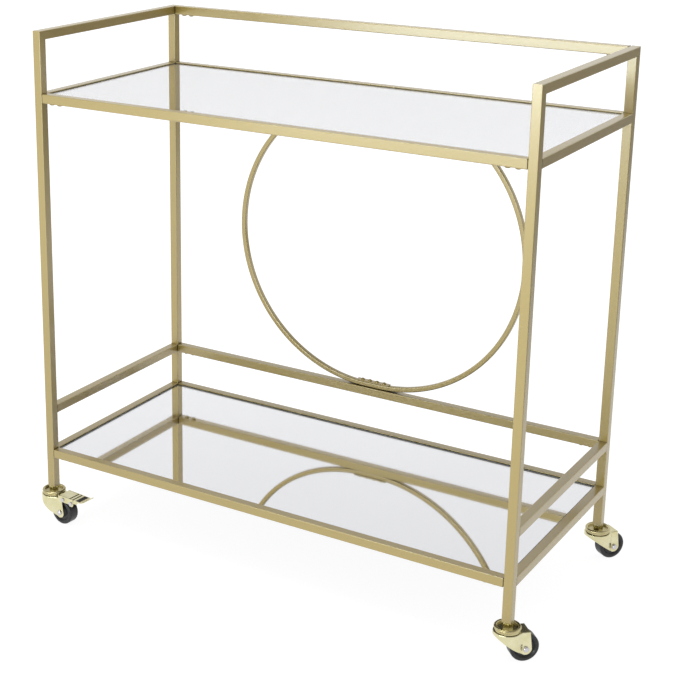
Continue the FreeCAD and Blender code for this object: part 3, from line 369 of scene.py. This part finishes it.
def rolled_bar(name, material, sizes):
    """A square bar along a circle that is parted by a flat at its top and bottom."""
    tree = bpy.data.node_groups.new(name, "GeometryNodeTree")
    values = []
    for label, value in sizes.items():
        size_input = tree.interface.new_socket(label, in_out="INPUT", socket_type="NodeSocketFloat")
        values.append((size_input, value))
    finish_input = tree.interface.new_socket("Finish", in_out="INPUT", socket_type="NodeSocketMaterial")
    values.append((finish_input, material))
    tree.interface.new_socket("Geometry", in_out="OUTPUT", socket_type="NodeSocketGeometry")
    given = add_node(tree, "NodeGroupInput")
    circle = add_node(tree, "GeometryNodeCurvePrimitiveCircle", {
        "Resolution": HOOP_STEPS, "Radius": given.outputs["Radius"]})
    place = add_node(tree, "GeometryNodeInputPosition")
    parts = add_node(tree, "ShaderNodeSeparateXYZ", {0: place.outputs[0]})
    side = reckon(tree, "SIGN", reckon(tree, "SNAP", parts.outputs["X"], NEAR_MIDDLE))
    half_flat = reckon(tree, "MULTIPLY", given.outputs["Flat"], 0.5)
    offset = add_node(tree, "ShaderNodeCombineXYZ", {"X": reckon(tree, "MULTIPLY", side, half_flat)})
    parted = add_node(tree, "GeometryNodeSetPosition", {
        "Geometry": circle.outputs[0], "Offset": offset.outputs[0]})
    section = add_node(tree, "GeometryNodeCurvePrimitiveQuadrilateral", {
        "Width": given.outputs["Bar"], "Height": given.outputs["Bar"]})
    rounded = add_node(tree, "GeometryNodeFilletCurve", {
        "Curve": section.outputs[0], "Count": HOOP_EDGE_STEPS, "Radius": given.outputs["Edge"]}, mode="POLY")
    solid = add_node(tree, "GeometryNodeCurveToMesh", {
        "Curve": parted.outputs[0], "Profile Curve": rounded.outputs[0]})
    smooth = add_node(tree, "GeometryNodeSetShadeSmooth", {"Geometry": solid.outputs[0]})
    real = add_node(tree, "GeometryNodeRealizeInstances", {0: smooth.outputs[0]})
    painted = add_node(tree, "GeometryNodeSetMaterial", {
        "Geometry": real.outputs[0], "Material": given.outputs["Finish"]})
    add_node(tree, "NodeGroupOutput", {0: painted.outputs[0]})
    carrier = carry(name, bpy.data.meshes.new(f"{name}_carrier"), tree, values)
    carrier.modifiers.new("flat_faces", "WEIGHTED_NORMAL")
    return plain_piece(name, carrier, material)


def hoop_edges(tree, places):
    """1 on the rounded edges of the rolled bar and 0 on its flat and its curved sides."""
    sizes = add_node(tree, "ShaderNodeVectorMath", {0: places.outputs["Normal"]}, operation="ABSOLUTE")
    outward = add_node(tree, "ShaderNodeVectorMath", {0: sizes.outputs[0], 1: ACROSS_AND_UP},
                       operation="MULTIPLY")
    radial = add_node(tree, "ShaderNodeVectorMath", {0: outward.outputs[0]}, operation="LENGTH")
    parts = add_node(tree, "ShaderNodeSeparateXYZ", {0: sizes.outputs[0]})
    largest = reckon(tree, "MAXIMUM", radial.outputs["Value"], parts.outputs["Y"])
    return between(tree, largest, FALLING, EDGE_SPREAD)


hoop_low, hoop_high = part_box("back_hoop")
hoop_middle = (hoop_low + hoop_high) / 2
hoop_radius = (hoop_high.z - hoop_low.z) / 2 - HOOP_BAR / 2
hoop_gold = gold_paint("satin_gold_hoop_paint", hoop_edges)
hoop = rolled_bar("rolled_hoop", hoop_gold, {
    "Radius": hoop_radius, "Flat": HOOP_FLAT, "Bar": HOOP_BAR, "Edge": HOOP_EDGE})
hoop.data.transform(Matrix.Translation(hoop_middle) @ Matrix.Rotation(math.pi / 2, 4, "X"))
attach(hoop, "frame")
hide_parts("back_hoop")


# Hoop fixings: a short doubler plate inside the hoop at each rail, under four small button-head screws.
# The plates are painted with the hoop, the screws are brass plated.

HOOP_PLATE = 0.002
HOOP_SCREW_PITCH = 0.0125
HOOP_SCREW_STEPS = (-1.5, -0.5, 0.5, 1.5)
dress(satin_gold, "hoop_plates")
hoop_screw = button_screw("hoop_screw", head=0.0064, head_height=0.0018, socket=0.0026, shank=0.0038,
                          reach=0.0138)
plate_top = hoop_high.z - HOOP_BAR - HOOP_PLATE
plate_low = hoop_low.z + HOOP_BAR + HOOP_PLATE
hoop_screw_spots = []
for step in HOOP_SCREW_STEPS:
    hoop_screw_spots.append(((step * HOOP_SCREW_PITCH, hoop_middle.y, plate_top), 0.0))
    hoop_screw_spots.append(((step * HOOP_SCREW_PITCH, hoop_middle.y, plate_low), math.pi))
hoop_screws = set_out("button_head_hoop_screws", hoop_screw, hoop_screw_spots, brass_screw)
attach(hoop_screws, "frame")
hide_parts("hoop_screws")


# Shelf rests: small tabs welded inside the rails and painted with them, with a clear bumper on each one.
# The bumpers are soft plastic discs that the glass lies on.

BUMPER_CLOUDY = (0.80, 0.82, 0.80, 1)
BUMPER_CLEAR = (0.92, 0.93, 0.92, 1)
BUMPER_ROUGHNESS = (0.2, 0.4)
BUMPER_CLOUDS_PER_METRE = 300.0
BUMPER_CLEARNESS = 0.7
SOFT_PLASTIC_IOR = 1.46


def bumper_finish():
    """Clear soft plastic, a little cloudy."""
    material, tree, shader, places = start_finish("clear_soft_plastic")
    cloud = noise(tree, places.outputs["Object"], BUMPER_CLOUDS_PER_METRE)
    fill_sockets(tree, shader, {
        "Base Color": blend_colours(tree, cloud, BUMPER_CLOUDY, BUMPER_CLEAR),
        "Roughness": between(tree, cloud, BUMPER_ROUGHNESS),
        "Transmission Weight": BUMPER_CLEARNESS,
        "IOR": SOFT_PLASTIC_IOR})
    return material


dress(satin_gold, "shelf_tabs")
dress(bumper_finish(), "mirror_bumpers")


# Shelves: two panes of 4 mm mirror glass, silvered below, laid just under the rail tops.
# The glass is clear with ground, greenish edges darkened near to black as painted shade of the gap at the
# rails; the silver under it is sealed with grey paint.

PANE_TINT = (0.98, 0.985, 0.983, 1)
PANE_CLEAR = (0.99, 0.995, 0.993, 1)
PANE_ROUGHNESS = (0.002, 0.012)
PANE_SMEARS_PER_METRE = 7.0
PANE_SMEAR_SPREAD = (0.35, 0.7)
GLASS_IOR = 1.5
# Edge colours: the glass's green made near-black as painted shade of the gap at the rails.
EDGE_GREEN_AND_SHADE_DARK = (0.018, 0.030, 0.026, 1)
EDGE_GREEN_AND_SHADE_PALE = (0.06, 0.085, 0.075, 1)
GROUND_ROUGHNESS = (0.3, 0.5)
GROUND_PER_METRE = 900.0
SILVER_DULL = (0.925, 0.925, 0.945, 1)
SILVER_CLEAR = (0.945, 0.945, 0.965, 1)
SILVER_ROUGHNESS = (0.002, 0.008)
SEAL_DARK = (0.25, 0.25, 0.26, 1)
SEAL_PALE = (0.33, 0.33, 0.34, 1)
SEAL_ROUGHNESS = (0.0, 0.5)
SEAL_PER_METRE = 180.0
SEAL_SPREAD = (-0.9, 0.5)
SILVER_THICK = 0.0003
SILVER_BITE = 0.0001
GROUND_EDGE = 0.0004
GROUND_EDGE_STEPS = 2
LEVEL_FACE = 0.99


def pane_finish():
    """Clear glass with faint smears."""
    material, tree, shader, places = start_finish("clear_pane_glass")
    smear = noise(tree, places.outputs["Object"], PANE_SMEARS_PER_METRE, detail=4.0)
    fill_sockets(tree, shader, {
        "Base Color": blend_colours(tree, smear, PANE_TINT, PANE_CLEAR),
        "Roughness": between(tree, smear, PANE_ROUGHNESS, PANE_SMEAR_SPREAD),
        "Transmission Weight": 1.0,
        "IOR": GLASS_IOR})
    return material


def ground_finish():
    """The ground edge of a pane, dull green darkened near to black: partly the glass's own green, partly
    painted shade of the gap at the rails.
    """
    material, tree, shader, places = start_finish("ground_glass_edge")
    grain = noise(tree, places.outputs["Object"], GROUND_PER_METRE, detail=3.0)
    fill_sockets(tree, shader, {
        "Base Color": blend_colours(tree, grain, EDGE_GREEN_AND_SHADE_DARK, EDGE_GREEN_AND_SHADE_PALE),
        "Roughness": between(tree, grain, GROUND_ROUGHNESS)})
    raise_surface(tree, shader, grain, strength=0.1, distance=0.0001)
    return material


def silver_finish():
    """Silver on the faces that look up, grey sealing paint on those that look down."""
    material, tree, shader, places = start_finish("silver_backing")
    where = places.outputs["Object"]
    facing = add_node(tree, "ShaderNodeSeparateXYZ", {0: places.outputs["Normal"]}).outputs["Z"]
    sealed = between(tree, facing, FALLING, SEAL_SPREAD)
    haze = noise(tree, where, PANE_SMEARS_PER_METRE, detail=4.0)
    silver = blend_colours(tree, haze, SILVER_DULL, SILVER_CLEAR)
    grey = blend_colours(tree, noise(tree, where, SEAL_PER_METRE, detail=3.0), SEAL_DARK, SEAL_PALE)
    gloss = between(tree, haze, SILVER_ROUGHNESS)
    fill_sockets(tree, shader, {
        "Base Color": blend_colours(tree, sealed, silver, grey),
        "Metallic": between(tree, sealed, FALLING),
        "Roughness": reckon(tree, "ADD", gloss, between(tree, sealed, SEAL_ROUGHNESS))})
    return material


def box_piece(name, low, high, bevel, face_finish, edge_finish):
    """A flat block between two corners, its edges eased all round; its sides have a finish of their own."""
    mesh = bpy.data.meshes.new(name)
    shape = bmesh.new()
    bmesh.ops.create_cube(shape, size=1.0)
    for corner in shape.verts:
        for axis in range(3):
            corner.co[axis] = high[axis] if corner.co[axis] > 0 else low[axis]
    if bevel:
        bmesh.ops.bevel(shape, geom=shape.edges[:], offset=bevel, segments=GROUND_EDGE_STEPS, profile=0.5,
                        affect="EDGES")
    bmesh.ops.recalc_face_normals(shape, faces=shape.faces)
    for face in shape.faces:
        face.material_index = 0 if abs(face.normal.z) > LEVEL_FACE else 1
    shape.to_mesh(mesh)
    shape.free()
    mesh.materials.append(face_finish)
    mesh.materials.append(edge_finish)
    piece = bpy.data.objects.new(name, mesh)
    bpy.context.scene.collection.objects.link(piece)
    return piece


pane_glass = pane_finish()
ground_glass = ground_finish()
silver_back = silver_finish()
inset = Vector((GROUND_EDGE, GROUND_EDGE, 0))
for shelf in ("upper", "lower"):
    low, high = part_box(f"{shelf}_mirror")
    glass_low = Vector((low.x, low.y, low.z + SILVER_THICK - SILVER_BITE))
    pane = box_piece(f"{shelf}_pane", glass_low, high, GROUND_EDGE, pane_glass, ground_glass)
    silver_high = Vector((high.x, high.y, low.z + SILVER_THICK)) - inset
    backing = box_piece(f"{shelf}_silver", low + inset, silver_high, 0, silver_back, silver_back)
    for piece in (pane, backing):
        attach(piece, "frame")
        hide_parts(f"{shelf}_mirror")


# Caster mounts: a threaded plug in each leg's end, a stem with a hexagon collar, and a pressed race.
# The stem is plated in pale yellow zinc and the race in a deeper one; plugs and balls are bright steel.

STEEL_DARK = (0.50, 0.49, 0.51, 1)
STEEL_LIGHT = (0.70, 0.68, 0.71, 1)
STEEL_ROUGHNESS = (0.16, 0.34)
STEEL_MARKS_PER_METRE = 1200.0
STEEL_GRAIN_PER_METRE = 3000.0
PALE_ZINC = ((0.66, 0.61, 0.35, 1), (0.74, 0.70, 0.46, 1), (0.84, 0.82, 0.64, 1))
DEEP_ZINC = ((0.46, 0.40, 0.20, 1), (0.60, 0.53, 0.30, 1), (0.80, 0.76, 0.56, 1))
PALE_ZINC_DULLNESS = 0.14
DEEP_ZINC_DULLNESS = 0.24
ZINC_DULLNESS_RANGE = 0.07
ZINC_DRIFT_PER_METRE = 60.0
ZINC_DRIFT_SPREAD = (0.35, 0.65)
ZINC_MARKS_PER_METRE = 900.0
ZINC_WAVES_PER_METRE = 260.0
ZINC_EDGE_RADIUS = 0.0006
ZINC_EDGE_SAMPLES = 4
ZINC_EDGE_WEAR = (0.6, 0.0)
ZINC_EDGE_SPREAD = (0.85, 0.99)


def steel_finish():
    """Bright steel with fine rubbed marks."""
    material, tree, shader, places = start_finish("bright_steel")
    where = places.outputs["Object"]
    marks = noise(tree, where, STEEL_MARKS_PER_METRE, detail=3.0)
    fill_sockets(tree, shader, {
        "Base Color": blend_colours(tree, marks, STEEL_DARK, STEEL_LIGHT),
        "Roughness": between(tree, marks, STEEL_ROUGHNESS, NOISE_MIDDLE),
        "Metallic": 1.0})
    raise_surface(tree, shader, noise(tree, where, STEEL_GRAIN_PER_METRE), strength=0.06, distance=0.0001)
    return material


def zinc_finish(name, colours, dullness):
    """Yellow zinc plate that drifts from deep to pale and is rubbed paler on its edges."""
    deep, pale, worn = colours
    material, tree, shader, places = start_finish(name)
    where = places.outputs["Object"]
    drift = between(tree, noise(tree, where, ZINC_DRIFT_PER_METRE), RISING, ZINC_DRIFT_SPREAD)
    marks = noise(tree, where, ZINC_MARKS_PER_METRE, detail=3.0)
    rounded = add_node(tree, "ShaderNodeBevel", {"Radius": ZINC_EDGE_RADIUS}, samples=ZINC_EDGE_SAMPLES)
    plain = add_node(tree, "ShaderNodeNewGeometry")
    match = add_node(tree, "ShaderNodeVectorMath", {0: rounded.outputs[0], 1: plain.outputs["Normal"]},
                     operation="DOT_PRODUCT")
    edge = between(tree, match.outputs["Value"], ZINC_EDGE_WEAR, ZINC_EDGE_SPREAD)
    plated = blend_colours(tree, drift, deep, pale)
    roughness = (dullness, dullness + ZINC_DULLNESS_RANGE)
    fill_sockets(tree, shader, {
        "Base Color": blend_colours(tree, edge, plated, worn),
        "Roughness": between(tree, marks, roughness, NOISE_MIDDLE),
        "Metallic": 1.0})
    raise_surface(tree, shader, noise(tree, where, ZINC_WAVES_PER_METRE), strength=0.08, distance=0.0003)
    return material


bright_steel = steel_finish()
pale_zinc = zinc_finish("pale_yellow_zinc", PALE_ZINC, PALE_ZINC_DULLNESS)
deep_zinc = zinc_finish("deep_yellow_zinc", DEEP_ZINC, DEEP_ZINC_DULLNESS)
dress(bright_steel, "race_balls", "leg_plugs")
dress(pale_zinc, "caster_stems")
dress(deep_zinc, "swivel_races")


# Forks: one stamped sheet folded into a crown and two cheeks, yellow plated, with arms behind if braked.
# The wheel's axle is a bolt through the cheeks, with its nut on the far side.

CASTERS = ("left_front", "right_front", "left_rear", "right_rear")
for caster in CASTERS:
    dress(pale_zinc, f"{caster}_fork")
    dress(bright_steel, f"{caster}_axle", f"{caster}_axle_nut")


# Wheels: moulded in black nylon with dished sides and a plain hub that runs on the axle.
# Dust and rubbing leave the black a little greyer and duller in patches.

NYLON_BLACK = (0.012, 0.012, 0.014, 1)
NYLON_DUSTY = (0.030, 0.030, 0.032, 1)
NYLON_ROUGHNESS = (0.28, 0.45)
DUST_PER_METRE = 240.0
DUST_SPREAD = (0.4, 0.75)
NYLON_GRAIN_PER_METRE = 1500.0


def wheel_finish():
    """Moulded black nylon with dusty patches."""
    material, tree, shader, places = start_finish("black_nylon")
    where = places.outputs["Object"]
    dust = noise(tree, where, DUST_PER_METRE, detail=4.0)
    patches = between(tree, dust, RISING, DUST_SPREAD)
    fill_sockets(tree, shader, {
        "Base Color": blend_colours(tree, patches, NYLON_BLACK, NYLON_DUSTY),
        "Roughness": between(tree, dust, NYLON_ROUGHNESS)})
    raise_surface(tree, shader, noise(tree, where, NYLON_GRAIN_PER_METRE), strength=0.08, distance=0.0002)
    return material


black_nylon = wheel_finish()
for caster in CASTERS:
    dress(black_nylon, f"{caster}_wheel")


# Foot brakes on the left casters: a pressed pedal on a rivet between the fork's arms, over a stop rivet.
# The pedal is plated like the fork, its pad is black rubber glued in a shallow recess.

RUBBER_BLACK = (0.014, 0.012, 0.010, 1)
RUBBER_WORN = (0.045, 0.038, 0.032, 1)
RUBBER_ROUGHNESS = (0.5, 0.75)
RUBBER_GRAIN_PER_METRE = 1400.0


def pad_finish():
    """Black rubber with a coarse grain."""
    material, tree, shader, places = start_finish("black_rubber_pad")
    grain = noise(tree, places.outputs["Object"], RUBBER_GRAIN_PER_METRE, detail=3.0)
    fill_sockets(tree, shader, {
        "Base Color": blend_colours(tree, grain, RUBBER_BLACK, RUBBER_WORN),
        "Roughness": between(tree, grain, RUBBER_ROUGHNESS)})
    raise_surface(tree, shader, grain, strength=0.3, distance=0.0003)
    return material


black_rubber = pad_finish()
for caster in ("left_front", "left_rear"):
    dress(pale_zinc, f"{caster}_brake_pedal")
    dress(black_rubber, f"{caster}_pedal_pad")
    dress(bright_steel, f"{caster}_pivot_pin", f"{caster}_stop_pin")


# Studio: a wide pale floor that runs to a white backdrop, with a low strip lamp in front and a lamp above.
# The floor keeps the cart's own shadow under the casters, and it turns dark to the right in metal alone.
# The backdrop turns grey overhead.

FLOOR_HALF = 9.0
FLOOR_GREY = (0.28, 0.28, 0.285, 1)
FLOOR_GLOW = (0.91, 1.0)
FLOOR_GLOW_SPREAD = (0.6, 2.0)
FLOOR_IN_METAL = (0.945, 0.1)
FLOOR_IN_METAL_SPREAD = (0.75, 1.25)
WHITE = (1, 1, 1, 1)
OVERHEAD_GREY = (0.42, 0.42, 0.44, 1)
OVERHEAD_SPREAD = (0.32, 0.80)
FILL_COLOUR = (0.97, 0.97, 1.0, 1)
FILL_STRENGTH = 0.50


def seen_white(tree, in_metal=1.0):
    """1 for what the camera or a clear surface sees, and the given share of it for what shows in metal."""
    path = add_node(tree, "ShaderNodeLightPath").outputs
    shiny = reckon(tree, "MULTIPLY", path["Is Glossy Ray"], in_metal)
    direct = reckon(tree, "MAXIMUM", path["Is Camera Ray"], shiny)
    return reckon(tree, "MAXIMUM", direct, path["Is Transmission Ray"])


floor_mesh = bpy.data.meshes.new("studio_floor")
floor_mesh.from_pydata([(-FLOOR_HALF, -FLOOR_HALF, 0), (FLOOR_HALF, -FLOOR_HALF, 0),
                        (FLOOR_HALF, FLOOR_HALF, 0), (-FLOOR_HALF, FLOOR_HALF, 0)], [], [(0, 1, 2, 3)])
floor = bpy.data.objects.new("studio_floor", floor_mesh)
bpy.context.scene.collection.objects.link(floor)
floor_paint = bpy.data.materials.new("studio_floor_paint")
floor_paint.use_nodes = True
floor_tree = floor_paint.node_tree
floor_tree.nodes.clear()
matt = add_node(floor_tree, "ShaderNodeBsdfDiffuse", {"Color": FLOOR_GREY})
floor_place = add_node(floor_tree, "ShaderNodeTexCoord").outputs["Object"]
floor_away = add_node(floor_tree, "ShaderNodeVectorMath", {0: floor_place}, operation="LENGTH")
floor_parts = add_node(floor_tree, "ShaderNodeSeparateXYZ", {0: floor_place})
floor_light = between(floor_tree, floor_away.outputs["Value"], FLOOR_GLOW, FLOOR_GLOW_SPREAD)
floor_in_metal = between(floor_tree, floor_parts.outputs["X"], FLOOR_IN_METAL, FLOOR_IN_METAL_SPREAD)
glow = reckon(floor_tree, "MULTIPLY", seen_white(floor_tree, floor_in_metal), floor_light)
bright = add_node(floor_tree, "ShaderNodeEmission", {"Color": WHITE, "Strength": glow})
floor_look = add_node(floor_tree, "ShaderNodeAddShader", {0: matt.outputs[0], 1: bright.outputs[0]})
add_node(floor_tree, "ShaderNodeOutputMaterial", {"Surface": floor_look.outputs[0]})
floor_mesh.materials.append(floor_paint)

world = bpy.data.worlds.new("studio_backdrop")
bpy.context.scene.world = world
world.use_nodes = True
world_tree = world.node_tree
world_tree.nodes.clear()
sky_place = add_node(world_tree, "ShaderNodeTexCoord")
sky_parts = add_node(world_tree, "ShaderNodeSeparateXYZ", {0: sky_place.outputs["Generated"]})
overhead = between(world_tree, sky_parts.outputs["Z"], RISING, OVERHEAD_SPREAD)
backdrop_colour = blend_colours(world_tree, overhead, WHITE, OVERHEAD_GREY)
backdrop = add_node(world_tree, "ShaderNodeBackground", {"Color": backdrop_colour, "Strength": 1.0})
fill = add_node(world_tree, "ShaderNodeBackground", {"Color": FILL_COLOUR, "Strength": FILL_STRENGTH})
world_look = add_node(world_tree, "ShaderNodeMixShader", {
    0: seen_white(world_tree), 1: fill.outputs[0], 2: backdrop.outputs[0]})
add_node(world_tree, "ShaderNodeOutputWorld", {"Surface": world_look.outputs[0]})


def soft_lamp(name, place, target, width, height, power, colour):
    """A rectangular lamp that looks at a target and isn't seen through glass."""
    light = bpy.data.lights.new(name, "AREA")
    light.color = colour
    light.shape = "RECTANGLE"
    light.size = width
    light.size_y = height
    light.energy = power
    lamp = bpy.data.objects.new(name, light)
    bpy.context.scene.collection.objects.link(lamp)
    aim = Vector(target) - Vector(place)
    lamp.location = place
    lamp.rotation_euler = aim.to_track_quat("-Z", "Y").to_euler()
    lamp.visible_transmission = False


soft_lamp("front_lamp", place=(-0.6, -3.2, 0.47), target=(0, 0, 0.27), width=2.4, height=0.66, power=36,
          colour=(0.92, 1.0, 0.97))
soft_lamp("top_lamp", place=(-0.6, -0.4, 3.0), target=(0, 0, 0.4), width=1.6, height=1.4, power=34,
          colour=(0.96, 1.0, 1.0))


# Camera: a long lens, above and to the right of the cart, with the frame shifted as in the picture.
# Its place, its turn and its focal length come from a fit to the cart's edges.

IMAGE_WIDTH = 684
IMAGE_HEIGHT = 677
FOCAL_PIXELS = 1532.8
AXIS_PIXEL = (240.0, 250.0)
SENSOR = 36.0
CAMERA_STAND = Vector((1.0286, -1.8313, 1.0713))
azimuth = math.radians(32.597)
elevation = math.radians(16.458)
roll = math.radians(0.212)
back = Vector((math.sin(azimuth) * math.cos(elevation), -math.cos(azimuth) * math.cos(elevation),
               math.sin(elevation)))
level = Vector((math.cos(azimuth), math.sin(azimuth), 0))
above = back.cross(level)
right = math.cos(roll) * level + math.sin(roll) * above
up = -math.sin(roll) * level + math.cos(roll) * above
lens = bpy.data.cameras.new("picture_camera")
lens.sensor_fit = "HORIZONTAL"
lens.sensor_width = SENSOR
lens.lens = FOCAL_PIXELS * SENSOR / IMAGE_WIDTH
lens.shift_x = (IMAGE_WIDTH / 2 - AXIS_PIXEL[0]) / IMAGE_WIDTH
lens.shift_y = (AXIS_PIXEL[1] - IMAGE_HEIGHT / 2) / IMAGE_WIDTH
camera = bpy.data.objects.new("picture_camera", lens)
bpy.context.scene.collection.objects.link(camera)
camera.matrix_world = Matrix.Translation(CAMERA_STAND) @ Matrix((right, up, back)).transposed().to_4x4()
bpy.context.scene.camera = camera
bpy.context.scene.view_settings.view_transform = "Standard"

bpy.context.view_layer.update()
